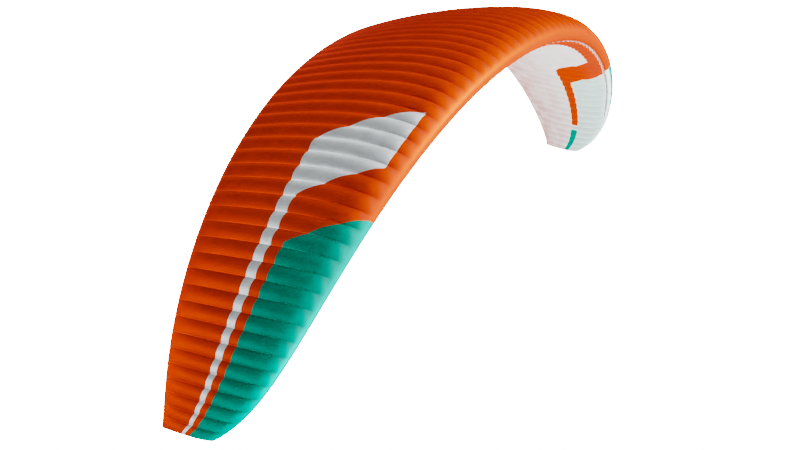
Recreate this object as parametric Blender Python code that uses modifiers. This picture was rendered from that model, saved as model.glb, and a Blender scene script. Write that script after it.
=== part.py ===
"""Paraglider wing: a ram-air canopy of seventy cells, blown up and arched as it flies.

Metres, +Z up. +X runs along the span, and the leading edge faces -Y. The origin is on the
underside at mid-span, where the field of suspension lines pulls. Two skins of cloth, each cut
in ten panels of seven cells, are sewn to ribs that stand inside them. The upper skin is rolled
round the nose as far as the air inlets, a slot along the underside of the leading edge.
"""

import math

import bmesh
import bpy
from mathutils import Matrix, Vector

# The wing laid flat. A series is {power: factor} of the station, 0 at mid-span and 1 at a tip.
HALF_SPAN = 6.0
ROOT_CHORD = 2.556
CHORD_LOSS = {2: 0.656, 4: -0.168, 8: 0.213, 24: 0.043}  # share of the root chord
SWEEP = {2: 1.01, 8: 0.36, 24: 0.17}  # metres that the leading edge lies back
TWIST = {0: -2.7, 2: -4.2}  # degrees, nose up
CELLS = 70
CELL_SPREAD = {1: 0.052, 3: 0.054, 5: -0.106}  # wide cells in the middle, narrow at the tips

# The arch that the lines hold it in: how far a rib leans outwards, in radians.
LEAN = {1: 1.054, 3: 0.313, 5: -0.226}
ARC_STEPS = 48

# The section of a rib, in shares of its chord.
THICKNESS = 0.179
CAMBER = 0.010
CAMBER_PEAK = 0.30
TWIST_POINT = 0.25
LINE_POINT = 0.30
NOSE_LIP = 0.035  # where the upper skin ends, under the nose
INLET_BACK = 0.056  # where the lower skin begins
UPPER_MARKS = (1.0, 0.94, 0.82, 0.67, 0.51, 0.36, 0.22, 0.11, 0.04, 0.008)
NOSE_MARKS = (0.0, 0.01, NOSE_LIP)
LOWER_MARKS = (INLET_BACK, 0.16, 0.36, 0.60, 0.82, 0.94, 1.0)
RIB_END = 0.94

# How far a cell swells out between its ribs, in shares of the cell's width.
TOP_SWELL = 0.15
UNDER_SWELL = 0.11
NOSE_SWELL = 0.5
NOSE_REACH = 0.20
TAIL_POWER = 6

# Cloth and sewing.
CLOTH = 0.003
RIB_CLOTH = 0.002
GAP = 0.0003
EVEN_CORNER = 1.05  # a folded sheet is this much deeper at its folds
CLOSED_NOSE_GAP = 0.002
PANELS = 10
CELLS_PER_PANEL = CELLS // PANELS
RIBS_IN_PANEL = (0, 2, 5)  # cells from a panel's edge to each of its ribs

ORANGE = (0.62, 0.11, 0.008, 1.0)
TEAL = (0.0, 0.33, 0.26, 1.0)
WHITE = (0.68, 0.70, 0.70, 1.0)
CLOTH_ROUGHNESS = 0.55


def series(terms, value):
    """The sum of a {power: factor} series."""
    return sum(factor * value**power for power, factor in terms.items())


def station(seam):
    """Place along the half span of a seam, which counts cells from the -X tip."""
    even = 2 * seam / CELLS - 1
    return even + series(CELL_SPREAD, even)


def chord(seam):
    return ROOT_CHORD * (1 - series(CHORD_LOSS, station(seam)))


def arch_point(place):
    """X and Z of the leading edge's arch: cloth laid end to end, each bit at its own lean."""
    step = place / ARC_STEPS
    leans = [series(LEAN, step * (number + 0.5)) for number in range(ARC_STEPS)]
    along = HALF_SPAN * step * sum(map(math.cos, leans))
    down = HALF_SPAN * step * sum(map(math.sin, leans))
    return along, -down


def section_frame(seam):
    """Matrix of a rib's plane: x back along its chord, y out of its top, z to the +X tip."""
    place = station(seam)
    length = chord(seam)
    along, up = arch_point(place)
    lean = series(LEAN, place)
    twist = math.radians(series(TWIST, abs(place)))
    out = Vector((math.sin(lean), 0, math.cos(lean)))
    back = Vector((0, 1, 0))
    chord_axis = math.cos(twist) * back - math.sin(twist) * out
    top_axis = math.sin(twist) * back + math.cos(twist) * out
    side_axis = chord_axis.cross(top_axis)
    pivot = Vector((along, series(SWEEP, abs(place)) + TWIST_POINT * length, up))
    axes = Matrix((chord_axis, top_axis, side_axis)).transposed().to_4x4()
    return Matrix.Translation(pivot) @ axes @ Matrix.Translation((-TWIST_POINT * length, 0, 0))


def section_point(mark, side, length):
    """A point of the section's outline, on its top for side 1 and its underside for -1."""
    root = math.sqrt(mark)
    half = 0.2969 * root - 0.1260 * mark - 0.3516 * mark**2 + 0.2843 * mark**3 - 0.1036 * mark**4
    half *= THICKNESS / 0.2
    if mark < CAMBER_PEAK:
        rise = (2 * CAMBER_PEAK * mark - mark**2) / CAMBER_PEAK**2
    else:
        rise = (1 - 2 * CAMBER_PEAK + 2 * CAMBER_PEAK * mark - mark**2) / (1 - CAMBER_PEAK) ** 2
    tail = mark * (CLOTH + GAP / 2)
    return Vector((mark * length, (CAMBER * rise + side * half) * length + side * tail))


def swell(mark, side, width):
    """How far the cloth stands out of the section at the middle of a cell."""
    share = TOP_SWELL if side > 0 else UNDER_SWELL
    nose = NOSE_SWELL + (1 - NOSE_SWELL) * min(1, mark / NOSE_REACH)
    return share * width * nose * (1 - mark**TAIL_POWER)


def corner_normals(points, closed):
    """Outward normals of an outline's corners, long enough to keep its sides parallel."""
    count = len(points)
    sides = []
    for number in range(count if closed else count - 1):
        run = (points[(number + 1) % count] - points[number]).normalized()
        sides.append(Vector((run.y, -run.x)))
    normals = []
    for number in range(count):
        before = sides[number - 1] if closed or number else sides[0]
        after = sides[number] if closed or number < count - 1 else sides[-1]
        middle = (before + after).normalized()
        normals.append(middle / middle.dot(before))
    return normals


def skin_marks(closing_marks=()):
    """(mark, side) of both skins, from the tail over the top and the nose to the tail."""
    upper = [(mark, 1) for mark in UPPER_MARKS]
    nose = [(mark, -1 if mark else 1) for mark in NOSE_MARKS]
    lower = [(mark, -1) for mark in (*closing_marks, *LOWER_MARKS)]
    return upper + nose + lower


def skin_column(seam, marks, full):
    """Points of both skins at a seam, or swollen out at the middle of a cell."""
    length = chord(seam)
    points = [section_point(mark, side, length) for mark, side in marks]
    if full:
        width = HALF_SPAN * (station(seam + 0.5) - station(seam - 0.5))
        normals = corner_normals(points, closed=False)
        depths = [swell(mark, side, width) for mark, side in marks]
        points = [p + n.normalized() * d for p, n, d in zip(points, normals, depths)]
    frame = WORLD_SHIFT @ section_frame(seam)
    return [frame @ p.to_3d() for p in points]


def panel_columns(panel):
    """(seam, full) of each line of points along a panel, a hair inside its two edges."""
    first = panel * CELLS_PER_PANEL
    columns = []
    for cell in range(first, first + CELLS_PER_PANEL):
        columns.append((cell, False))
        columns.append((cell + 0.5, True))
    columns.append((first + CELLS_PER_PANEL, False))
    hair = GAP / 2 / (HALF_SPAN * (station(first + 1) - station(first)))
    columns[0] = (columns[0][0] + hair, False)
    columns[-1] = (columns[-1][0] - hair, False)
    return columns


def cloth_material(name, colour):
    material = bpy.data.materials.new(name)
    material.use_nodes = True
    shader = material.node_tree.nodes["Principled BSDF"]
    shader.inputs["Base Color"].default_value = colour
    shader.inputs["Roughness"].default_value = CLOTH_ROUGHNESS
    shader.inputs["Metallic"].default_value = 0.0
    return material


def add_object(name, data, material, collection, parent):
    data.materials.append(material)
    item = bpy.data.objects.new(name, data)
    item.parent = parent
    collection.objects.link(item)
    return item


def add_skin(name, columns, material, collection, parent):
    """One panel of a skin: a sheet lofted through its columns, thickened inwards."""
    shape = bmesh.new()
    grid = [[shape.verts.new(point) for point in column] for column in columns]
    for left, right in zip(grid, grid[1:]):
        for row in range(len(left) - 1):
            shape.faces.new((left[row], left[row + 1], right[row + 1], right[row]))
    mesh = bpy.data.meshes.new(name)
    shape.to_mesh(mesh)
    shape.free()
    mesh.shade_smooth()
    item = add_object(name, mesh, material, collection, parent)
    cloth = item.modifiers.new("cloth", "SOLIDIFY")
    cloth.thickness = CLOTH
    cloth.offset = -1
    cloth.use_even_offset = True


def add_panel(panel, materials, collection, parent):
    """The upper and the lower skin of one run of cells. The tips have no inlet."""
    at_tip = panel in (0, PANELS - 1)
    columns = []
    for seam, full in panel_columns(panel):
        closing = [NOSE_LIP + CLOSED_NOSE_GAP / chord(seam)] if at_tip else []
        columns.append(skin_column(seam, skin_marks(closing), full))
    split = len(UPPER_MARKS) + len(NOSE_MARKS)
    upper = [column[:split] for column in columns]
    lower = [column[split:] for column in columns]
    top = materials["teal"] if at_tip else materials["orange"]
    add_skin(f"upper_panel_{panel + 1:02d}", upper, top, collection, parent)
    add_skin(f"lower_panel_{panel + 1:02d}", lower, materials["white"], collection, parent)


def sweep_slope(seam):
    """How fast the leading edge runs back towards the tip, as a share of the way along."""
    place = abs(station(seam))
    return sum(power * factor * place ** (power - 1) for power, factor in SWEEP.items()) / HALF_SPAN


def rib_outline(seam):
    """The section's outline, drawn in by the skins round it, and more where they are raked."""
    marks = [pair for pair in skin_marks() if pair[0] <= RIB_END]
    points = [section_point(mark, side, chord(seam)) for mark, side in marks]
    outline = []
    for point, normal in zip(points, corner_normals(points, closed=True)):
        rake = sweep_slope(seam) * abs(normal.normalized().x)
        inset = CLOTH * EVEN_CORNER * math.hypot(1, rake) + GAP + rake * RIB_CLOTH / 2
        outline.append(point - normal * inset)
    return outline


def add_rib(seam, material, collection, parent):
    """One rib: a flat piece of cloth, filled and extruded, stood on its chord."""
    name = f"rib_{seam:02d}"
    curve = bpy.data.curves.new(name, "CURVE")
    curve.dimensions = "2D"
    curve.fill_mode = "BOTH"
    curve.extrude = RIB_CLOTH / 2
    outline = rib_outline(seam)
    spline = curve.splines.new("POLY")
    spline.points.add(len(outline) - 1)
    for corner, point in zip(spline.points, outline):
        corner.co = (point.x, point.y, 0, 1)
    spline.use_cyclic_u = True
    item = add_object(name, curve, material, collection, parent)
    inwards = 1 if seam == 0 else -1 if seam == CELLS else 0
    flush = Matrix.Translation((0, 0, inwards * RIB_CLOTH / 2))
    frame = WORLD_SHIFT @ section_frame(seam) @ flush
    item.location = frame.to_translation()
    item.rotation_euler = frame.to_euler()


def rib_seams():
    """The seams that carry a rib: two or three cells apart, the same in every panel."""
    firsts = range(0, CELLS, CELLS_PER_PANEL)
    return [first + cell for first in firsts for cell in RIBS_IN_PANEL] + [CELLS]


def clear_scene():
    for item in list(bpy.data.objects):
        bpy.data.objects.remove(item)


def line_field_shift():
    """Moves the wing so that its origin is on the underside at mid-span."""
    middle = section_point(LINE_POINT, -1, chord(CELLS / 2)).to_3d()
    return Matrix.Translation(-(section_frame(CELLS / 2) @ middle))


def main():
    clear_scene()
    collection = bpy.data.collections.new("paraglider_wing")
    bpy.context.scene.collection.children.link(collection)
    line_field = bpy.data.objects.new("line_field", None)
    collection.objects.link(line_field)
    materials = {
        "orange": cloth_material("orange_cloth", ORANGE),
        "teal": cloth_material("teal_cloth", TEAL),
        "white": cloth_material("white_cloth", WHITE),
    }
    for panel in range(PANELS):
        add_panel(panel, materials, collection, line_field)
    for seam in rib_seams():
        add_rib(seam, materials["white"], collection, line_field)


WORLD_SHIFT = line_field_shift()
main()
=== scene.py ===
"""Paraglider wing: the finished cloth of a ram-air canopy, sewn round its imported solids.

Metres, +Z up. +X runs along the span, and the leading edge faces -Y. Each panel of seven cells is
a fine sheet of coated ripstop nylon that is swollen out between its seams, and each seam stands
on a rib. A point of the wing is told by its seam count, 0 at the -X tip and 70 at the other, and
by its mark, the share of the chord behind the leading edge.
"""

import logging
import math
from dataclasses import dataclass, field
from enum import Enum

import bpy
import numpy as np
from mathutils import Matrix, Vector


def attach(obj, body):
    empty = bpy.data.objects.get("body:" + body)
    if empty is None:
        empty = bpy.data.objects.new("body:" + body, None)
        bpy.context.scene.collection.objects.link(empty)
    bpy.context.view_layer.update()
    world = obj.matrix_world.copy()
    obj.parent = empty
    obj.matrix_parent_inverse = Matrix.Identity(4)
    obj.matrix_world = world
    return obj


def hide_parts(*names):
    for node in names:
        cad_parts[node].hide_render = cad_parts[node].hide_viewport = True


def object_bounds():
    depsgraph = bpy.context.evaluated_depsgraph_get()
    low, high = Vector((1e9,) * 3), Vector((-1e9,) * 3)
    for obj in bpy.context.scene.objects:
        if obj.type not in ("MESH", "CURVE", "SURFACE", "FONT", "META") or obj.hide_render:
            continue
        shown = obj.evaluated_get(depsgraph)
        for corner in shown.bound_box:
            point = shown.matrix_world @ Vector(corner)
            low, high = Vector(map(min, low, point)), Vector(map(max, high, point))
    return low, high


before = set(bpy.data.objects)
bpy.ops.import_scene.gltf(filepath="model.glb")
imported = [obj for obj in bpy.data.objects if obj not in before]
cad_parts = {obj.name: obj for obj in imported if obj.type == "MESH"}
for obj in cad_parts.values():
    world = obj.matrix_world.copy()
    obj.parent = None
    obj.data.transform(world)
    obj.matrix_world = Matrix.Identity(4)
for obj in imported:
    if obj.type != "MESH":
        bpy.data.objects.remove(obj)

CAD_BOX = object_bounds()
LOG = logging.getLogger("wing")

Series = dict[int, float]
Span = tuple[float, float]
Line = tuple[tuple[float, float], ...]
Colour = tuple[float, float, float, float]


class Side(Enum):
    """Which skin of the wing a piece of cloth belongs to."""

    UPPER = 1
    LOWER = -1


class Meeting(Enum):
    """How a colour of the cloth meets the one that lies under it."""

    SEWN = "at a sewn edge"
    # painted light, blended softly into the colour under it
    PAINTED_LIGHT = "softly, where it shines through"


def series(terms: Series, value: np.ndarray) -> np.ndarray:
    """Sums a {power: factor} series.

    Args:
        terms: The factor of each power.
        value: Where to work it out.

    Returns:
        The sums, shaped as value.
    """
    return sum(factor * value**power for power, factor in terms.items())


def ease(value: np.ndarray, low: float, high: float) -> np.ndarray:
    """Rises smoothly from 0 at low to 1 at high.

    Args:
        value: Where to work it out.
        low: Where the rise begins.
        high: Where it ends.

    Returns:
        Shares from 0 to 1, shaped as value.
    """
    share = np.clip((value - low) / (high - low), 0.0, 1.0)
    return share * share * (3 - 2 * share)


def along_line(line: Line, place: np.ndarray) -> np.ndarray:
    """Reads a line that is drawn from corner to corner.

    Args:
        line: Corners as (cells from the tip, mark).
        place: Cells from the tip.

    Returns:
        The line's marks at those places.
    """
    cells, marks = zip(*line)
    return np.interp(place, cells, marks)


@dataclass(frozen=True)
class Planform:
    """The wing laid flat, and the arch that its lines hold it in.

    Each series runs over the station, from 0 at mid-span to 1 at a tip. The chord loss is in
    shares of the root chord, the sweep in metres, the twist in degrees and the lean in radians.
    """

    half_span: float = 6.0
    root_chord: float = 2.556
    chord_loss: Series = field(default_factory=lambda: {2: 0.656, 4: -0.168, 8: 0.213, 24: 0.043})
    sweep: Series = field(default_factory=lambda: {2: 1.01, 8: 0.36, 24: 0.17})
    twist: Series = field(default_factory=lambda: {0: -2.7, 2: -4.2})
    lean: Series = field(default_factory=lambda: {1: 1.054, 3: 0.313, 5: -0.226})
    cells: int = 70
    cell_spread: Series = field(default_factory=lambda: {1: 0.052, 3: 0.054, 5: -0.106})
    arc_steps: int = 48
    twist_point: float = 0.25
    # counts the last seam in with the last cell
    end_hair: float = 0.01

    def station(self, seam: np.ndarray) -> np.ndarray:
        """Place along the half span, from -1 to 1, of a seam count."""
        even = 2 * seam / self.cells - 1
        return even + series(self.cell_spread, even)

    def chord(self, seam: np.ndarray) -> np.ndarray:
        """Length of the section at a seam count, in metres."""
        return self.root_chord * (1 - series(self.chord_loss, self.station(seam)))

    def cell_width(self, seam: np.ndarray) -> np.ndarray:
        """Width of a cell whose middle lies at this seam count, in metres."""
        return self.half_span * (self.station(seam + 0.5) - self.station(seam - 0.5))

    def cell_width_around(self, seam: np.ndarray) -> np.ndarray:
        """Width of the cell that a seam count lies in, in metres."""
        cell = np.floor(np.clip(seam, 0, self.cells - self.end_hair))
        return self.cell_width(cell + 0.5)

    def section_axes(self, seam: np.ndarray) -> tuple[np.ndarray, np.ndarray, np.ndarray]:
        """Finds the plane that a section stands in.

        Args:
            seam: Seam counts, in one row.

        Returns:
            The nose's place and the unit vectors back along the chord and out of the top,
            each with a row for each seam count.
        """
        place = self.station(seam)
        step = place / self.arc_steps
        leans = series(self.lean, step[:, None] * (np.arange(self.arc_steps) + 0.5))
        across = self.half_span * step * np.cos(leans).sum(axis=1)
        drop = self.half_span * step * np.sin(leans).sum(axis=1)
        lean = series(self.lean, place)
        twist = np.radians(series(self.twist, np.abs(place)))
        out = np.stack([np.sin(lean), np.zeros_like(lean), np.cos(lean)], axis=1)
        back = np.array([0.0, 1.0, 0.0])
        cosine, sine = np.cos(twist)[:, None], np.sin(twist)[:, None]
        chord_axis = cosine * back - sine * out
        top_axis = sine * back + cosine * out
        held = self.twist_point * self.chord(seam)
        swept = series(self.sweep, np.abs(place)) + held
        nose = np.stack([across, swept, -drop], axis=1) - held[:, None] * chord_axis
        return nose, chord_axis, top_axis


@dataclass(frozen=True)
class Section:
    """The airfoil of a rib, in shares of its chord, and how the cloth swells between ribs."""

    thickness: float = 0.179
    # half the thickness of a section that is 0.2 thick: a root term and a series
    drawn_thickness: float = 0.2
    half_root: float = 0.2969
    half_series: Series = field(
        default_factory=lambda: {1: -0.1260, 2: -0.3516, 3: 0.2843, 4: -0.1036}
    )
    camber: float = 0.010
    camber_peak: float = 0.30
    nose_lip: float = 0.035
    inlet_back: float = 0.044
    line_point: float = 0.30
    top_swell: float = 0.15
    under_swell: float = 0.11
    nose_reach: float = 0.10
    tail_power: int = 6

    def height(self, mark: np.ndarray, side: np.ndarray) -> np.ndarray:
        """Reads the outline's height over the chord line.

        Args:
            mark: Share of the chord behind the nose.
            side: 1 on top and -1 underneath.

        Returns:
            Heights in shares of the chord.
        """
        half = self.half_root * np.sqrt(mark) + series(self.half_series, mark)
        half = half * self.thickness / self.drawn_thickness
        peak = self.camber_peak
        front = (2 * peak * mark - mark**2) / peak**2
        rear = (1 - 2 * peak + 2 * peak * mark - mark**2) / (1 - peak) ** 2
        return self.camber * np.where(mark < peak, front, rear) + side * half

    def swell(self, mark: np.ndarray, side: Side, across: np.ndarray) -> np.ndarray:
        """Reads how far the cloth stands out between two seams.

        Args:
            mark: Share of the chord behind the nose.
            side: The skin.
            across: Share of the way over the cell, from 0 to 1.

        Returns:
            Depths in shares of the cell's width.
        """
        share = self.top_swell if side is Side.UPPER else self.under_swell
        nose = ease(mark, 0.0, self.nose_reach)
        return share * nose * (1 - mark**self.tail_power) * 4 * across * (1 - across)


@dataclass(frozen=True)
class Sewing:
    """How the cloth is cut and sewn, in metres unless a comment names a share."""

    cloth: float = 0.001
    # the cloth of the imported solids, whose underside the origin lies on
    packed_cloth: float = 0.003
    # left free between two pieces of cloth, so that none of them touch
    gap: float = 0.0003
    panels: int = 10
    steps_over_cell: int = 12
    rows_over_top: int = 84
    rows_under: int = 46
    # brings the lower skin's rows closer together towards the inlets
    rows_forward: float = 1.4
    rib_columns: int = 44
    rib_rows: int = 4
    # marks between which a rib stands, and the most of its half height that it stays inside
    rib_nose: float = 0.0012
    rib_end: float = 0.965
    rib_inset: float = 0.45
    # how deep the edges of a mouth curve between two seams, in shares of the chord
    lip_scallop: float = 0.003
    inlet_scallop: float = 0.004
    scallop_power: float = 0.6
    closed_gap: float = 0.002
    # towards the nose, over these marks, the seams press flat: a point there counts as so much
    # further from its seam, and a rib's cloth has no seam near it at all
    flat_seam: float = 0.10
    flat_marks: Span = (0.03, 0.12)
    no_seam: float = 1.0
    # the white tape that binds the front edge of the lower skin
    lip_tape: float = 0.006


@dataclass(frozen=True)
class TopDye:
    """Where the upper skin is white and teal. The rest of it is orange.

    Every line has corners of (cells from the nearer tip, mark), and runs straight between them.
    """

    white_rear: Line = (
        (0, 0.560), (1, 0.530), (4, 0.515), (8, 0.508), (19.95, 0.504), (23.7, -0.005),
    )
    white_front: Line = (
        (0, 0.500), (1, 0.465), (4, 0.450), (10, 0.436), (16.1, 0.426), (18.75, 0.070),
    )
    teal_rear: Line = (
        (0, 0.400), (1, 0.378), (6, 0.368), (13.25, 0.351), (15.75, 0.0), (16.2, -0.06),
    )
    # the strip under the nose ends so many cells from the tip, and begins so far under it
    strip_end: float = 15.6
    nose_turn: float = 0.008
    # chord shares that a cell counts for, beside the end of the strip
    cell_share: float = 0.1

    def white(self, tip: np.ndarray, mark: np.ndarray) -> np.ndarray:
        """How far inside the white a point is, in chord shares. Marks under the nose are minus."""
        rear = along_line(self.white_rear, tip) - mark
        return np.minimum(rear, mark - along_line(self.white_front, tip))

    def teal(self, tip: np.ndarray, mark: np.ndarray) -> np.ndarray:
        """How far inside the teal a point is, in chord shares. None lies under the nose."""
        return np.minimum(along_line(self.teal_rear, tip) - mark, mark + self.nose_turn)

    def nose_strip(self, tip: np.ndarray, mark: np.ndarray) -> np.ndarray:
        """How far inside the white strip under a tip's nose a point is."""
        return np.minimum(-self.nose_turn - mark, self.cell_share * (self.strip_end - tip))


@dataclass(frozen=True)
class UnderDye:
    """Where the lower skin is orange and teal. The rest of it is white."""

    orange_rear: Line = (
        (5.2, 0.426), (15.4, 0.432), (16.6, 0.345), (17.1, 0.235), (17.6, 0.195), (18.1, 0.119),
        (35, 0.112),
    )
    orange_front: Line = (
        (5.2, 0.345), (13.0, 0.350), (13.5, 0.315), (14.3, 0.180), (15.4, 0.0),
    )
    orange_end: float = 5.2
    teal_front: float = 0.341
    teal_rear: float = 0.434
    teal_end: float = 4.35
    # chord shares that a cell counts for, beside the end of a stripe
    cell_share: float = 0.08

    def orange(self, tip: np.ndarray, mark: np.ndarray) -> np.ndarray:
        """Tells how far inside the orange band and stripe a point is.

        Args:
            tip: Cells from the nearer tip.
            mark: The point's mark.

        Returns:
            Shares of the chord, and less than 0 outside.
        """
        rear = along_line(self.orange_rear, tip) - mark
        front = mark - along_line(self.orange_front, tip)
        return np.minimum(np.minimum(rear, front), self.cell_share * (tip - self.orange_end))

    def teal(self, tip: np.ndarray, mark: np.ndarray) -> np.ndarray:
        """How far inside the teal stripe a point is, in chord shares."""
        chordwise = np.minimum(self.teal_rear - mark, mark - self.teal_front)
        return np.minimum(chordwise, self.cell_share * (self.teal_end - tip))


@dataclass(frozen=True)
class PaintedLight:
    """Where painted highlights, painted glow and painted through-light lie on the cloth, as shares
    from 0 to 1.

    Places are marks, cells from the nearer tip, or shares of the way over a cell. A span is
    where a share begins to change and where it has.
    """

    # the painted highlight on the nose: its reach at a seam, what wide cells add, and what the
    # next seam adds
    nose_reach: float = 0.020
    wide_reach: float = 0.012
    over_cell: float = 0.040
    over_cell_power: float = 1.5
    wide_from: Span = (6.0, 14.0)
    wide_to: Span = (22.0, 30.0)
    nose_edge: Span = (-0.012, 0.026)
    nose_under: Span = (-0.04, -0.015)
    nose_cells: Span = (0.0, 9.0)
    # the painted glow beside a seam of the upper skin
    seam_before: Span = (0.60, 1.0)
    seam_after: Span = (0.0, 0.14)
    seam_cells: Span = (10.0, 20.0)
    seam_marks: Span = (0.12, 0.30)
    # the lower skin: the painted highlight on its orange, and the painted light that it lets
    # through of the skin above
    orange_marks: Span = (0.10, 0.25)
    teal_edge: Span = (-0.03, 0.05)
    teal_most: float = 0.8
    pink_marks: Span = (0.35, 0.95)
    # pieces of cloth let a little more or less of it through, in no plain order: so many rows of
    # them to the chord, and a wave's turn for each cell, squared, and for each row, in radians
    pink_even: float = 0.66
    pink_uneven: float = 0.34
    patch_rows: float = 9.0
    patch_turns: tuple[float, float] = (2.7, 4.1)

    def on_nose(self, tip: np.ndarray, mark: np.ndarray, across: np.ndarray) -> np.ndarray:
        """Tells where the painted highlight lies on the nose of the upper skin, in a leaf on each
        cell.

        Args:
            tip: Cells from the nearer tip.
            mark: The point's mark.
            across: Share of the way over the cell.

        Returns:
            How strong the painted highlight is there.
        """
        wide = ease(tip, *self.wide_from) * (1 - ease(tip, *self.wide_to))
        reach = self.nose_reach + self.wide_reach * wide
        reach = reach + self.over_cell * across**self.over_cell_power
        share = ease(reach - mark, *self.nose_edge) * ease(mark, *self.nose_under)
        return share * ease(tip, *self.nose_cells)

    def by_seam(self, tip: np.ndarray, mark: np.ndarray, across: np.ndarray) -> np.ndarray:
        """Where a painted glow lies beside the seams of the upper skin."""
        beside = np.maximum(ease(across, *self.seam_before), 1 - ease(across, *self.seam_after))
        return beside * ease(tip, *self.seam_cells) * ease(mark, *self.seam_marks)

    def of_orange(self, mark: np.ndarray) -> np.ndarray:
        """Where a painted highlight makes the orange of the lower skin paler, towards its front.
        """
        return 1 - ease(mark, *self.orange_marks)

    def of_teal(self, above: np.ndarray) -> np.ndarray:
        """Where painted teal light comes through the lower skin, from how far inside the teal
        above a point is.
        """
        return ease(above, *self.teal_edge)

    def of_pink(self, seam: np.ndarray, mark: np.ndarray) -> np.ndarray:
        """Tells how much painted pink light from the orange above comes through the lower skin,
        piece by piece.

        Args:
            seam: The point's seam count.
            mark: Its mark.

        Returns:
            How strong the painted pink light is there.
        """
        by_cell, by_row = self.patch_turns
        turn = by_cell * np.floor(seam) ** 2 + by_row * np.floor(self.patch_rows * mark)
        return ease(mark, *self.pink_marks) * (self.pink_even + self.pink_uneven * np.sin(turn))


@dataclass(frozen=True)
class Grid:
    """A sheet's grid: a seam count for each column, and a mark and a side for each point."""

    seam: np.ndarray
    mark: np.ndarray
    side: np.ndarray
    across: np.ndarray


def linear(code: str) -> Colour:
    """Turns an sRGB hex colour into a linear one.

    Args:
        code: Six hex digits.

    Returns:
        Red, green, blue and an alpha of 1.
    """
    shares = [int(code[at:at + 2], 16) / 255 for at in (0, 2, 4)]
    # the curve that the sRGB standard gives
    red, green, blue = (
        share / 12.92 if share <= 0.04045 else ((share + 0.055) / 1.055) ** 2.4
        for share in shares
    )
    return red, green, blue, 1.0


def add_node(
    tree: bpy.types.NodeTree, kind: str, settings: dict | None = None, inputs: dict | None = None
) -> bpy.types.Node:
    """Adds a node with its settings and links.

    Args:
        tree: Where it goes.
        kind: The node's type.
        settings: Values of its own properties.
        inputs: For each input socket, a socket to link from or a value to set.

    Returns:
        The node.
    """
    made = tree.nodes.new(kind)
    for name, value in (settings or {}).items():
        setattr(made, name, value)
    for name, value in (inputs or {}).items():
        if isinstance(value, bpy.types.NodeSocket):
            tree.links.new(value, made.inputs[name])
        else:
            made.inputs[name].default_value = value
    return made


@dataclass(frozen=True)
class RipstopNylon:
    """Coated ripstop nylon: woven 40-denier yarn, calendered, with a polyurethane coating.

    The press leaves the threads flat, so they mirror light softly and in their own dye, and
    hardly any of it white. Raised double threads cross the cloth in small squares. Seams are
    sewn twice, and pucker the cloth beside them.
    """

    name: str
    orange: str = "D74E04"
    # painted highlight: the orange, paled where light falls on the nose and the front of the lower
    # skin
    highlight_orange: str = "DF5636"
    teal: str = "009785"
    # painted highlight: the teal, paled where light falls on the nose
    highlight_teal: str = "4BA191"
    white: str = "E2E7EA"
    # the lower skin's white, warmed with painted light from the orange skin above, and the painted
    # pink and teal light that comes through it
    warm_white: str = "E4DEDC"
    painted_pink_light: str = "D8B4B2"
    painted_teal_light: str = "C2DAD6"
    roughness: float = 0.50
    ior: float = 1.53
    specular: float = 0.002
    # the share of the light that the dyed threads mirror in their own colour
    dyed_gloss: float = 0.35
    # painted glow of the cloth's inner faces, standing for daylight that comes through the cloth
    # and fills the cells, as a share of its colour
    painted_inner_glow: float = 0.28
    # a painted glow beside each seam of the upper skin, which lightens the cloth there, as a share
    # of its colour
    painted_seam_emission: float = 0.32
    # the real squares are 5 mm and the thread 0.3 mm: drawn four times as coarse, to show at all
    square: float = 0.020
    thread: float = 0.0012
    thread_softness: float = 0.2
    thread_light: float = 0.05
    thread_height: float = 0.00012
    # handling leaves the coating a little cloudy, in patches a hand or two wide: 5 to a metre
    clouds: float = 5.0
    cloud_detail: float = 3.0
    cloud_roughness: float = 0.6
    shade_levels: Span = (0.3, 0.7)
    cloud_shade: Span = (0.96, 1.04)
    gloss_levels: Span = (0.25, 0.75)
    cloud_gloss: Span = (-0.04, 0.05)
    # painted highlight along a seam, 8 mm to each side, where two more layers of cloth are folded
    # in
    seam_half_width: float = 0.008
    painted_fold_highlight: float = 0.5
    # the stitching runs 10 mm from the seam: real thread is 0.5 mm wide, and is drawn 1.8 mm wide
    stitch_way: float = 0.010
    stitch_half_width: float = 0.0009
    stitch_shade: float = -0.18
    # puckers to a metre over the cell and along the seam, and their height at it and away from it
    puckers: tuple[float, float, float] = (6.0, 34.0, 1.0)
    pucker_detail: float = 2.0
    pucker_reach: float = 0.045
    pucker_height: Span = (0.004, 0.0004)
    relief: float = 0.5


@dataclass(frozen=True)
class Ground:
    """What every part of a cloth's material reads.

    The place on the weave in metres, 1 on the raised threads, the cloudiness from 0 to 1, and
    the way to the nearest seam in metres.
    """

    weave: bpy.types.NodeSocket
    threads: bpy.types.NodeSocket
    cloud: bpy.types.NodeSocket
    seam: bpy.types.NodeSocket


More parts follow.
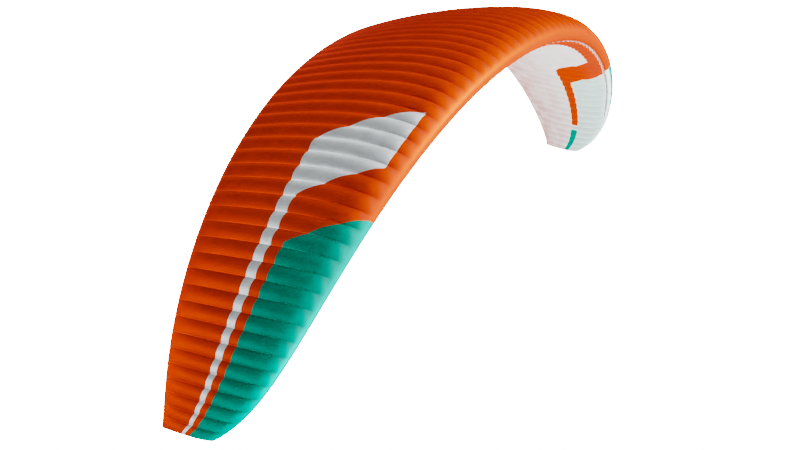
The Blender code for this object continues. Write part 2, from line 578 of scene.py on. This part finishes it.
class ClothMaker:
    """Makes the node materials of the cloth."""

    def __init__(self, finish: RipstopNylon) -> None:
        """Keeps the finish that the materials share."""
        self.finish = finish

    def layered(
        self,
        tree: bpy.types.NodeTree,
        lowest: Colour | bpy.types.NodeSocket,
        layers: list[tuple[str, Meeting, Colour | bpy.types.NodeSocket]],
    ) -> bpy.types.NodeSocket:
        """Lays colours over each other.

        Args:
            tree: The material's nodes.
            lowest: The colour under them all.
            layers: For each colour the attribute that tells where it lies, how it meets what is
                under it, and the colour.

        Returns:
            The finished colour's socket.
        """
        finished = lowest
        for attribute, meeting, colour in layers:
            share = add_node(
                tree, "ShaderNodeAttribute", {"attribute_name": attribute}
            ).outputs["Fac"]
            if meeting is Meeting.SEWN:
                share = add_node(
                    tree, "ShaderNodeMath", {"operation": "GREATER_THAN"}, {0: share, 1: 0.0}
                ).outputs[0]
            # sockets 6 and 7 are the two colours of the mix, and output 2 is its colour
            finished = add_node(
                tree, "ShaderNodeMix", {"data_type": "RGBA"}, {0: share, 6: finished, 7: colour}
            ).outputs[2]
        return finished

    def dyed(self, tree: bpy.types.NodeTree, side: Side) -> bpy.types.NodeSocket:
        """Lays out the dyed pieces of one skin, and the painted light on them.

        Args:
            tree: The material's nodes.
            side: The skin.

        Returns:
            The colour's socket.
        """
        look = self.finish
        # painted highlight: the orange pales where light falls on the front of a skin, and the
        # teal on the nose
        orange = self.layered(
            tree, linear(look.orange),
            [("nose_shine", Meeting.PAINTED_LIGHT, linear(look.highlight_orange))],
        )
        if side is Side.UPPER:
            teal = self.layered(
                tree, linear(look.teal),
                [("nose_shine", Meeting.PAINTED_LIGHT, linear(look.highlight_teal))],
            )
            return self.layered(
                tree, orange,
                [
                    ("teal_cloth", Meeting.SEWN, teal),
                    ("white_cloth", Meeting.SEWN, linear(look.white)),
                ],
            )
        # painted light: the dye of the skin above, lit through the thin white cloth, painted on it
        # as warm, pink and teal tints
        return self.layered(
            tree, linear(look.warm_white),
            [
                ("painted_pink_light", Meeting.PAINTED_LIGHT, linear(look.painted_pink_light)),
                ("painted_teal_light", Meeting.PAINTED_LIGHT, linear(look.painted_teal_light)),
                ("orange_cloth", Meeting.SEWN, orange),
                ("teal_cloth", Meeting.SEWN, linear(look.teal)),
            ],
        )

    def woven(self, tree: bpy.types.NodeTree) -> Ground:
        """Adds the weave, the clouds and the seams that the rest of a material reads.

        Args:
            tree: The material's nodes.

        Returns:
            Their sockets.
        """
        look = self.finish
        weave = add_node(tree, "ShaderNodeUVMap", {"uv_map": "cloth"}).outputs[0]
        squares = add_node(
            tree, "ShaderNodeTexBrick", {"offset": 0.0},
            {
                "Vector": weave, "Scale": 1.0, "Brick Width": look.square,
                "Row Height": look.square, "Mortar Size": look.thread,
                "Mortar Smooth": look.thread_softness,
            },
        )
        cloud = add_node(
            tree, "ShaderNodeTexNoise", {"noise_dimensions": "2D"},
            {
                "Vector": weave, "Scale": look.clouds, "Detail": look.cloud_detail,
                "Roughness": look.cloud_roughness,
            },
        )
        seam = add_node(tree, "ShaderNodeAttribute", {"attribute_name": "seam_way"})
        return Ground(weave, squares.outputs["Fac"], cloud.outputs[0], seam.outputs["Fac"])

    def shaded(
        self, tree: bpy.types.NodeTree, colour: bpy.types.NodeSocket, ground: Ground
    ) -> bpy.types.NodeSocket:
        """Shades the dye with the threads, the clouds, a painted highlight along the folded seams,
        and their stitches.

        Args:
            tree: The material's nodes.
            colour: The dye.
            ground: What the material reads.

        Returns:
            The shaded colour's socket.
        """
        look = self.finish
        worn = add_node(
            tree, "ShaderNodeMapRange", {},
            {
                "Value": ground.cloud,
                "From Min": look.shade_levels[0], "From Max": look.shade_levels[1],
                "To Min": look.cloud_shade[0], "To Max": look.cloud_shade[1],
            },
        )
        shade = add_node(
            tree, "ShaderNodeMath", {"operation": "MULTIPLY_ADD"},
            {0: ground.threads, 1: look.thread_light, 2: worn.outputs[0]},
        )
        # painted highlight along each seam, fading out over its half width
        stripe_highlight = add_node(
            tree, "ShaderNodeMapRange", {},
            {
                "Value": ground.seam, "From Min": 0.0, "From Max": look.seam_half_width,
                "To Min": look.painted_fold_highlight, "To Max": 0.0,
            },
        )
        on_stitch = add_node(
            tree, "ShaderNodeMath", {"operation": "COMPARE"},
            {0: ground.seam, 1: look.stitch_way, 2: look.stitch_half_width},
        )
        stitched = add_node(
            tree, "ShaderNodeMath", {"operation": "MULTIPLY_ADD"},
            {0: on_stitch.outputs[0], 1: look.stitch_shade, 2: shade.outputs[0]},
        )
        lit = add_node(
            tree, "ShaderNodeMath", {"operation": "ADD"},
            {0: stitched.outputs[0], 1: stripe_highlight.outputs[0]},
        )
        return add_node(
            tree, "ShaderNodeVectorMath", {"operation": "SCALE"},
            {0: colour, "Scale": lit.outputs[0]},
        ).outputs[0]

    def raised(self, tree: bpy.types.NodeTree, ground: Ground) -> bpy.types.NodeSocket:
        """Raises the threads, and the puckers that run out from the stitches.

        Args:
            tree: The material's nodes.
            ground: What the material reads.

        Returns:
            The normal's socket.
        """
        look = self.finish
        stretched = add_node(
            tree, "ShaderNodeMapping", {}, {"Vector": ground.weave, "Scale": look.puckers}
        )
        pucker = add_node(
            tree, "ShaderNodeTexNoise", {"noise_dimensions": "2D"},
            {"Vector": stretched.outputs[0], "Scale": 1.0, "Detail": look.pucker_detail},
        )
        near = add_node(
            tree, "ShaderNodeMapRange", {"interpolation_type": "SMOOTHSTEP"},
            {
                "Value": ground.seam, "From Min": 0.0, "From Max": look.pucker_reach,
                "To Min": look.pucker_height[0], "To Max": look.pucker_height[1],
            },
        )
        puckered = add_node(
            tree, "ShaderNodeMath", {"operation": "MULTIPLY"},
            {0: pucker.outputs[0], 1: near.outputs[0]},
        )
        relief = add_node(
            tree, "ShaderNodeMath", {"operation": "MULTIPLY_ADD"},
            {0: ground.threads, 1: look.thread_height, 2: puckered.outputs[0]},
        )
        return add_node(
            tree, "ShaderNodeBump", {},
            {"Height": relief.outputs[0], "Distance": 1.0, "Strength": look.relief},
        ).outputs[0]

    def build(self, side: Side, inside: bool = False) -> bpy.types.Material:
        """Makes one skin's material.

        Args:
            side: The skin.
            inside: True for the cloth's inner face, whose painted glow stands for the light that
                comes through.

        Returns:
            The material.
        """
        look = self.finish
        face = "inside" if inside else "outside"
        material = bpy.data.materials.new(f"{look.name}_{side.name.lower()}_{face}")
        material.use_nodes = True
        tree = material.node_tree
        shader = tree.nodes["Principled BSDF"]
        colour = self.dyed(tree, side)
        ground = self.woven(tree)
        gloss = add_node(
            tree, "ShaderNodeMapRange", {},
            {
                "Value": ground.cloud,
                "From Min": look.gloss_levels[0], "From Max": look.gloss_levels[1],
                "To Min": look.roughness + look.cloud_gloss[0],
                "To Max": look.roughness + look.cloud_gloss[1],
            },
        )
        tree.links.new(self.shaded(tree, colour, ground), shader.inputs["Base Color"])
        tree.links.new(self.raised(tree, ground), shader.inputs["Normal"])
        tree.links.new(gloss.outputs[0], shader.inputs["Roughness"])
        tree.links.new(colour, shader.inputs["Specular Tint"])
        shader.inputs["IOR"].default_value = look.ior
        shader.inputs["Specular IOR Level"].default_value = look.specular
        shader.inputs["Metallic"].default_value = look.dyed_gloss
        if inside:
            # painted glow of the inner face
            tree.links.new(colour, shader.inputs["Emission Color"])
            shader.inputs["Emission Strength"].default_value = look.painted_inner_glow
        elif side is Side.UPPER:
            # painted glow beside the seams of the upper skin
            beside = add_node(tree, "ShaderNodeAttribute", {"attribute_name": "painted_glow_by_seam"})
            through = add_node(
                tree, "ShaderNodeVectorMath", {"operation": "SCALE"},
                {0: colour, "Scale": beside.outputs["Fac"]},
            )
            tree.links.new(through.outputs[0], shader.inputs["Emission Color"])
            shader.inputs["Emission Strength"].default_value = look.painted_seam_emission
        return material


def made_grid(
    name: str, columns: int, rows: int
) -> tuple[bpy.types.Object, np.ndarray, np.ndarray]:
    """Adds a flat grid, ready to be shaped.

    Args:
        name: The piece's name.
        columns: Points along X.
        rows: Points along Y.

    Returns:
        The object, and each point's column and row.
    """
    bpy.ops.object.select_all(action="DESELECT")
    bpy.ops.mesh.primitive_grid_add(x_subdivisions=columns - 1, y_subdivisions=rows - 1, size=2)
    piece = bpy.context.object
    piece.name = piece.data.name = name
    flat = np.empty(len(piece.data.vertices) * 3)
    piece.data.vertices.foreach_get("co", flat)
    flat = flat.reshape(-1, 3)
    column = np.rint((flat[:, 0] + 1) / 2 * (columns - 1)).astype(int)
    row = np.rint((flat[:, 1] + 1) / 2 * (rows - 1)).astype(int)
    return piece, column, row


def put_points(piece: bpy.types.Object, points: np.ndarray) -> None:
    """Moves a mesh's points to places that are given one to a row."""
    piece.data.vertices.foreach_set("co", points.astype(np.float32).ravel())
    piece.data.update()


def put_attribute(piece: bpy.types.Object, name: str, values: np.ndarray) -> None:
    """Gives each point of a mesh a value that the material reads."""
    layer = piece.data.attributes.new(name, "FLOAT", "POINT")
    layer.data.foreach_set("value", values.astype(np.float32))


def put_uv(piece: bpy.types.Object, across: np.ndarray, back: np.ndarray) -> None:
    """Lays the weave on a mesh, in metres.

    Args:
        piece: The mesh's object.
        across: Each point's place over the cloth.
        back: Each point's place along it.
    """
    layer = piece.data.uv_layers[0]
    layer.name = "cloth"
    corner = np.empty(len(piece.data.loops), dtype=np.int32)
    piece.data.loops.foreach_get("vertex_index", corner)
    layer.data.foreach_set("uv", np.stack([across, back], 1)[corner].astype(np.float32).ravel())


def crease_seams(piece: bpy.types.Object, on_seam: np.ndarray) -> None:
    """Marks the edges that lie along a seam as sharp.

    Args:
        piece: The sheet.
        on_seam: For each point, the seam's number, or -1 off the seams.
    """
    mesh = piece.data
    ends = np.empty(len(mesh.edges) * 2, dtype=np.int32)
    mesh.edges.foreach_get("vertices", ends)
    first, second = on_seam[ends.reshape(-1, 2)].T
    mesh.edges.foreach_set("select", (first == second) & (first >= 0))
    mesh.polygons.foreach_set("select", np.zeros(len(mesh.polygons), dtype=bool))
    bpy.ops.object.mode_set(mode="EDIT")
    bpy.ops.mesh.select_mode(type="EDGE")
    bpy.ops.mesh.mark_sharp()
    bpy.ops.object.mode_set(mode="OBJECT")


def thicken(
    piece: bpy.types.Object, depth: float, offset: float, faces: list[bpy.types.Material]
) -> None:
    """Gives a sheet its thickness and its cloth.

    Args:
        piece: The sheet.
        depth: Thickness, in metres.
        offset: -1 for all of it inwards, and 0 for half to each side.
        faces: The material of the face that the sheet has, and that of its new face.
    """
    piece.data.shade_smooth()
    for material in faces:
        piece.data.materials.append(material)
    cloth = piece.modifiers.new("cloth", "SOLIDIFY")
    cloth.thickness = depth
    cloth.offset = offset
    cloth.use_even_offset = True
    cloth.material_offset = len(faces) - 1
    bpy.context.view_layer.objects.active = piece
    bpy.ops.object.modifier_apply(modifier=cloth.name)


@dataclass(frozen=True)
class Cut:
    """A sheet's flat size."""

    width: float
    length: float
    area: float


def measured_cut(points: np.ndarray) -> Cut:
    """Measures a sheet as it was cut, along its rows and columns.

    Args:
        points: The sheet's points by row and column.

    Returns:
        Its greatest width and length, and its area.
    """
    over = np.diff(points, axis=1)
    back = np.diff(points, axis=0)
    width = np.linalg.norm(over, axis=2).sum(axis=1).max()
    length = np.linalg.norm(back, axis=2).sum(axis=0).max()
    area = np.linalg.norm(np.cross(over[:-1], back[:, :-1]), axis=2).sum()
    return Cut(float(width), float(length), float(area))


@dataclass
class Wing:
    """The canopy: both skins and the ribs between them."""

    plan: Planform = field(default_factory=Planform)
    section: Section = field(default_factory=Section)
    sewing: Sewing = field(default_factory=Sewing)
    top: TopDye = field(default_factory=TopDye)
    under: UnderDye = field(default_factory=UnderDye)
    painted_light: PaintedLight = field(default_factory=PaintedLight)
    shift: np.ndarray = field(init=False)

    def __post_init__(self) -> None:
        """Finds the shift that puts the origin on the underside at mid-span."""
        self.shift = np.zeros(3)
        middle = np.array([self.plan.cells / 2])
        mark = np.array([[self.section.line_point]])
        outline = self.outline(middle, mark, -np.ones((1, 1)), self.sewing.packed_cloth)
        self.shift = -self.placed(middle, *outline)[0, 0]

    @property
    def cells_in_panel(self) -> int:
        """Cells in each panel."""
        return self.plan.cells // self.sewing.panels

    def outline(
        self, seam: np.ndarray, mark: np.ndarray, side: np.ndarray, cloth: float
    ) -> tuple[np.ndarray, np.ndarray]:
        """Draws the section's outline, before it swells.

        Args:
            seam: A seam count for each column.
            mark: Marks by row and column.
            side: 1 or -1 for each mark.
            cloth: The cloth's thickness, which keeps the two skins apart at the tail.

        Returns:
            Metres back from the nose and up from the chord line, by row and column.
        """
        length = self.plan.chord(seam)
        tail = mark * (cloth + self.sewing.gap / 2)
        return mark * length, self.section.height(mark, side) * length + side * tail

    def placed(self, seam: np.ndarray, back: np.ndarray, rise: np.ndarray) -> np.ndarray:
        """Stands points of sections in the row frame.

        Args:
            seam: A seam count for each column.
            back: Metres back from the nose, by row and column.
            rise: Metres up from the chord line.

        Returns:
            The points, by row, column and axis.
        """
        nose, chord_axis, top_axis = self.plan.section_axes(seam)
        return nose + back[..., None] * chord_axis + rise[..., None] * top_axis + self.shift

    def swollen(self, grid: Grid, skin: Side) -> np.ndarray:
        """Shapes a skin, blown out between its seams.

        Args:
            grid: The sheet's grid, with its rows running over the outside from left to right.
            skin: Which skin it is.

        Returns:
            The outer face's points, by row, column and axis.
        """
        back, rise = self.outline(grid.seam, grid.mark, grid.side, self.sewing.cloth)
        run, climb = np.gradient(back, axis=0), np.gradient(rise, axis=0)
        size = np.hypot(run, climb)
        share = self.section.swell(grid.mark, skin, grid.across)
        depth = share * self.plan.cell_width_around(grid.seam)
        back = back - climb / size * depth
        rise = rise + run / size * depth
        return self.placed(grid.seam, back, rise)

    def columns(self, panel: int) -> tuple[np.ndarray, np.ndarray]:
        """Lays out a panel's columns, from a hair inside one edge to a hair inside the other.

        Args:
            panel: The panel's number, from 0.

        Returns:
            Each column's seam count, and its share of the way over its cell.
        """
        first = panel * self.cells_in_panel
        count = self.cells_in_panel * self.sewing.steps_over_cell
        number = np.arange(count + 1)
        seam = first + number / self.sewing.steps_over_cell
        across = (number % self.sewing.steps_over_cell) / self.sewing.steps_over_cell
        hair = self.sewing.gap / 2 / self.plan.cell_width(np.array([first + 0.5]))[0]
        seam[0] += hair
        seam[-1] -= hair
        return seam, across

    def at_tip(self, panel: int) -> bool:
        """True for the two tip panels, whose noses are closed."""
        return panel in (0, self.sewing.panels - 1)

    def mouth(self, panel: int, across: np.ndarray) -> np.ndarray:
        """How far a mouth's edge is curved at each column, from 0 at the seams to 1 between."""
        power = self.sewing.scallop_power
        return np.zeros_like(across) if self.at_tip(panel) else np.sin(np.pi * across) ** power

    def upper_grid(self, panel: int) -> Grid:
        """Lays out the upper skin, from the lip under the nose over the top to the tail.

        Args:
            panel: The panel's number, from 0.

        Returns:
            Its grid.
        """
        seam, across = self.columns(panel)
        curve = self.mouth(panel, across)
        lip = self.section.nose_lip + self.sewing.lip_scallop * (0.5 - curve)
        if self.at_tip(panel):
            lip = np.full_like(across, self.section.nose_lip)
        share = np.linspace(0, 1, self.sewing.rows_over_top + 1)[:, None]
        root = -np.sqrt(lip) + share * (1 + np.sqrt(lip))
        side = np.where(root < 0, -1.0, 1.0)
        return Grid(seam, root**2, side, np.broadcast_to(across, root.shape))

    def lower_grid(self, panel: int) -> Grid:
        """Lays out the lower skin, from the tail to the inlets.

        Args:
            panel: The panel's number, from 0.

        Returns:
            Its grid.
        """
        seam, across = self.columns(panel)
        curve = self.mouth(panel, across)
        front = self.section.inlet_back + self.sewing.inlet_scallop * (curve - 0.5)
        if self.at_tip(panel):
            front = self.section.nose_lip + self.sewing.closed_gap / self.plan.chord(seam)
        share = np.linspace(1, 0, self.sewing.rows_under + 1)[:, None]
        mark = front + (1 - front) * share**self.sewing.rows_forward
        return Grid(seam, mark, -np.ones_like(mark), np.broadcast_to(across, mark.shape))

    def dress(
        self, piece: bpy.types.Object, grid: Grid, skin: Side, place: tuple[np.ndarray, np.ndarray]
    ) -> None:
        """Writes what the material reads on a skin: dyes, seams and painted light.

        Args:
            piece: The sheet.
            grid: Its grid.
            skin: Which skin it is.
            place: The grid's row and column of each of the mesh's points.
        """
        seam = np.broadcast_to(grid.seam, grid.mark.shape)
        chord = self.plan.chord(seam)
        tip = np.minimum(seam, self.plan.cells - seam)
        mark = grid.mark * grid.side if skin is Side.UPPER else grid.mark
        flat = self.sewing.flat_seam * (1 - ease(grid.mark, *self.sewing.flat_marks))
        way = np.minimum(grid.across, 1 - grid.across) * self.plan.cell_width_around(seam)
        values = {"seam_way": way + flat}
        teal_above = self.top.teal(tip, mark)
        if skin is Side.UPPER:
            white = np.maximum(self.top.white(tip, mark), self.top.nose_strip(tip, mark))
            values["white_cloth"] = white * chord
            values["teal_cloth"] = teal_above * chord
            # painted highlight on the nose
            values["nose_shine"] = self.painted_light.on_nose(tip, mark, grid.across)
            # painted glow beside the seams
            values["painted_glow_by_seam"] = self.painted_light.by_seam(tip, mark, grid.across)
        else:
            # behind the tape, whose own edge is the skin's last row
            behind = (grid.mark - grid.mark[-1:]) * chord - self.sewing.lip_tape
            values["orange_cloth"] = np.minimum(self.under.orange(tip, mark) * chord, behind)
            values["teal_cloth"] = self.under.teal(tip, mark) * chord
            # painted highlight towards the front of the lower skin
            values["nose_shine"] = self.painted_light.of_orange(mark)
            # painted pink and teal light that comes through from the skin above
            teal = self.painted_light.of_teal(teal_above)
            values["painted_pink_light"] = (1 - teal) * self.painted_light.of_pink(seam, mark)
            values["painted_teal_light"] = teal * self.painted_light.teal_most
        for name, value in values.items():
            put_attribute(piece, name, value[place])

    def sew_skin(self, panel: int, skin: Side, faces: list[bpy.types.Material]) -> Cut:
        """Makes one panel of a skin.

        Args:
            panel: Its number, from 0.
            skin: Which skin it is.
            faces: The materials of its outer and inner face.

        Returns:
            The sheet's flat size.
        """
        grid = self.upper_grid(panel) if skin is Side.UPPER else self.lower_grid(panel)
        points = self.swollen(grid, skin)
        word = "upper" if skin is Side.UPPER else "lower"
        piece, column, row = made_grid(f"{word}_skin_{panel + 1:02d}", *grid.mark.shape[::-1])
        put_points(piece, points[row, column])
        way = np.linalg.norm(np.diff(points, axis=0, prepend=points[:1]), axis=2).cumsum(axis=0)
        over = np.linalg.norm(np.diff(points, axis=1, prepend=points[:, :1]), axis=2)
        over = over[over.shape[0] // 2].cumsum()
        put_uv(piece, over[column], way[row, column])
        self.dress(piece, grid, skin, (row, column))
        steps = self.sewing.steps_over_cell
        crease_seams(piece, np.where(column % steps == 0, column // steps, -1))
        thicken(piece, self.sewing.cloth, -1, faces)
        cut = measured_cut(points)
        node = f"{word}_panel_{panel + 1:02d}"
        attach(piece, "root")
        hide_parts(node)
        return cut

    def rib_shape(self, seam: int) -> tuple[np.ndarray, np.ndarray, np.ndarray]:
        """Shapes a rib, flat between the insides of the two skins.

        Args:
            seam: The seam that it stands on.

        Returns:
            Metres back from the nose, metres up from the chord line, and the points of both, by
            row and column.
        """
        make = self.sewing
        share = np.linspace(0, 1, make.rib_columns + 1)
        mark = make.rib_nose + (make.rib_end - make.rib_nose) * share**2
        half = make.cloth / 2 / self.plan.cell_width(np.array([abs(seam - 0.5)]))[0]
        inwards = half if seam == 0 else -half if seam == self.plan.cells else 0.0
        place = np.full(mark.shape, seam + inwards)
        edges = []
        for side in (-1.0, 1.0):
            back, rise = self.outline(place, mark[None], np.full((1, mark.size), side), make.cloth)
            run, climb = np.gradient(back[0]), np.gradient(rise[0])
            inset = (make.cloth + make.gap) * np.hypot(run, climb) / run
            edges.append(rise[0] - side * np.minimum(inset, make.rib_inset * np.abs(rise[0])))
        low, high = edges
        level = np.linspace(0, 1, make.rib_rows + 1)[:, None]
        rise = low + (high - low) * level
        back = np.broadcast_to(back[0], rise.shape)
        return back, rise, self.placed(place, back, rise)

    def sew_rib(self, seam: int, material: bpy.types.Material) -> Cut:
        """Makes one rib.

        Args:
            seam: The seam that it stands on.
            material: Its cloth.

        Returns:
            The sheet's flat size.
        """
        back, rise, points = self.rib_shape(seam)
        piece, column, row = made_grid(f"rib_cloth_{seam:02d}", *rise.shape[::-1])
        put_points(piece, points[row, column])
        put_uv(piece, back[row, column], rise[row, column])
        put_attribute(piece, "seam_way", np.full(column.size, self.sewing.no_seam))
        thicken(piece, self.sewing.cloth, 0, [material])
        cut = measured_cut(points)
        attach(piece, "root")
        if f"rib_{seam:02d}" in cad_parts:
            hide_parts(f"rib_{seam:02d}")
        return cut

    def build(self, maker: ClothMaker) -> None:
        """Makes every piece of the wing and reports it.

        Args:
            maker: Makes the cloth.
        """
        faces = {skin: [maker.build(skin), maker.build(skin, inside=True)] for skin in Side}
        for skin in Side:
            for panel in range(self.sewing.panels):
                cut = self.sew_skin(panel, skin, faces[skin])
                LOG.info("%s skin %d: %.2f x %.2f m, %.2f m2", skin.name.lower(), panel + 1,
                         cut.width, cut.length, cut.area)
        for seam in range(self.plan.cells + 1):
            # the ribs take the lower skin's inner cloth, with its painted glow
            cut = self.sew_rib(seam, faces[Side.LOWER][1])
            LOG.info("rib %d: %.2f x %.2f m", seam, cut.width, cut.length)


@dataclass(frozen=True)
class CovePaint:
    """Matt white emulsion, rolled on: it scatters light evenly and mirrors next to none.

    Its glow only keeps it white in the picture. It lights nothing.
    """

    name: str = "matt_white_cove"
    white: str = "E7E7E7"
    glow: str = "FFFFFF"
    glow_strength: float = 16.0
    roughness: float = 0.9

    def build(self) -> bpy.types.Material:
        """Makes the paint.

        Returns:
            The material.
        """
        material = bpy.data.materials.new(self.name)
        material.use_nodes = True
        shader = material.node_tree.nodes["Principled BSDF"]
        shader.inputs["Base Color"].default_value = linear(self.white)
        shader.inputs["Roughness"].default_value = self.roughness
        shader.inputs["Emission Color"].default_value = linear(self.glow)
        shader.inputs["Emission Strength"].default_value = self.glow_strength
        return material


@dataclass(frozen=True)
class Studio:
    """The camera, the floor and the light, in metres and degrees, with the lens in millimetres."""

    camera_place: tuple[float, float, float] = (-10.519, -5.738, 2.669)
    yaw: float = 55.585
    pitch: float = -21.946
    roll: float = -6.171
    lens: float = 43.98
    sensor: float = 36.0
    # how far the camera sees
    sight: float = 500.0
    cove_radius: float = 120.0
    floor_drop: float = 1.6
    paint: CovePaint = CovePaint()
    # height of the light's direction, from -1 below to 1 above, and how bright the room is there
    room: Line = ((-1.0, 1.0), (-0.35, 0.03), (1.0, 0.08))
    # azimuth from +X and elevation of each lamp, its strength and its width
    lamps: tuple[tuple[float, float, float, float], ...] = (
        (-62, 19, 5.5, 28), (-95, 58, 0.4, 28), (-108, -40, 4.2, 28), (90, -10, 0.9, 22),
        (119, 4, 0.8, 18), (136, 1, 0.45, 18), (150, -10, 0.3, 18), (104, 14, 0.3, 18),
        (44, 12, 0.25, 18),
    )

    def add_camera(self) -> None:
        """Stands the camera in front of the near tip, looking along the span."""
        data = bpy.data.cameras.new("camera")
        data.lens = self.lens
        data.sensor_width = self.sensor
        data.clip_end = self.sight
        camera = bpy.data.objects.new("camera", data)
        bpy.context.scene.collection.objects.link(camera)
        yaw, pitch, roll = (math.radians(angle) for angle in (self.yaw, self.pitch, self.roll))
        ahead = Vector(
            (math.sin(yaw) * math.cos(pitch), math.cos(yaw) * math.cos(pitch), math.sin(pitch))
        )
        level = Vector((math.cos(yaw), -math.sin(yaw), 0))
        upright = level.cross(ahead)
        right = level * math.cos(roll) + upright * math.sin(roll)
        up = right.cross(ahead)
        camera.matrix_world = Matrix.LocRotScale(
            Vector(self.camera_place), Matrix((right, up, -ahead)).transposed(), None
        )
        bpy.context.scene.camera = camera

    def add_cove(self, lowest: float) -> None:
        """Puts a white floor under the wing, and white walls far round it.

        The wing doesn't see them: it is lit by the room and the lamps alone.

        Args:
            lowest: The wing's lowest point.
        """
        material = self.paint.build()
        place = (0, 0, lowest - self.floor_drop)
        bpy.ops.object.select_all(action="DESELECT")
        bpy.ops.mesh.primitive_plane_add(size=2 * self.cove_radius, location=place)
        bpy.context.object.name = "floor"
        cove = [bpy.context.object]
        bpy.ops.mesh.primitive_uv_sphere_add(radius=self.cove_radius, location=place)
        bpy.context.object.name = "walls"
        cove.append(bpy.context.object)
        for piece in cove:
            piece.data.materials.append(material)
            piece.visible_diffuse = False
            piece.visible_glossy = False
            piece.visible_shadow = False

    def add_room(self) -> None:
        """Lights the wing from all round, brightly from straight below and dimly elsewhere."""
        world = bpy.data.worlds.new("room")
        bpy.context.scene.world = world
        world.use_nodes = True
        tree = world.node_tree
        toward = add_node(tree, "ShaderNodeTexCoord").outputs["Generated"]
        height = add_node(tree, "ShaderNodeSeparateXYZ", {}, {0: toward}).outputs["Z"]
        share = add_node(
            tree, "ShaderNodeMapRange", {}, {"Value": height, "From Min": -1.0, "From Max": 1.0}
        )
        ramp = add_node(tree, "ShaderNodeValToRGB", {}, {"Fac": share.outputs[0]})
        stops = ramp.color_ramp.elements
        for number, (level, grey) in enumerate(self.room):
            place = (level + 1) / 2
            # a new ramp has two stops
            stop = stops[number] if number < 2 else stops.new(place)
            stop.position = place
            stop.color = (grey, grey, grey, 1)
        tree.links.new(ramp.outputs[0], tree.nodes["Background"].inputs[0])

    def add_lamps(self) -> None:
        """Hangs the wide soft lamps, two strong ones before the wing and weak ones round it."""
        for number, (azimuth, elevation, strength, width) in enumerate(self.lamps):
            data = bpy.data.lights.new(f"lamp_{number + 1}", "SUN")
            data.energy = strength
            data.angle = math.radians(width)
            lamp = bpy.data.objects.new(data.name, data)
            bpy.context.scene.collection.objects.link(lamp)
            turn, rise = math.radians(azimuth), math.radians(elevation)
            lamp.rotation_euler = (math.pi / 2 - rise, 0, turn + math.pi / 2)

    def build(self) -> None:
        """Sets up the studio."""
        self.add_camera()
        self.add_cove(CAD_BOX[0].z)
        self.add_room()
        self.add_lamps()
        view = bpy.context.scene.view_settings
        view.view_transform = "Filmic"
        view.look = "High Contrast"


def main() -> None:
    """Builds the studio and the wing."""
    logging.basicConfig(level=logging.INFO, format="%(message)s")
    Studio().build()
    Wing().build(ClothMaker(RipstopNylon("coated_ripstop_nylon")))


if __name__ == "__main__":
    main()
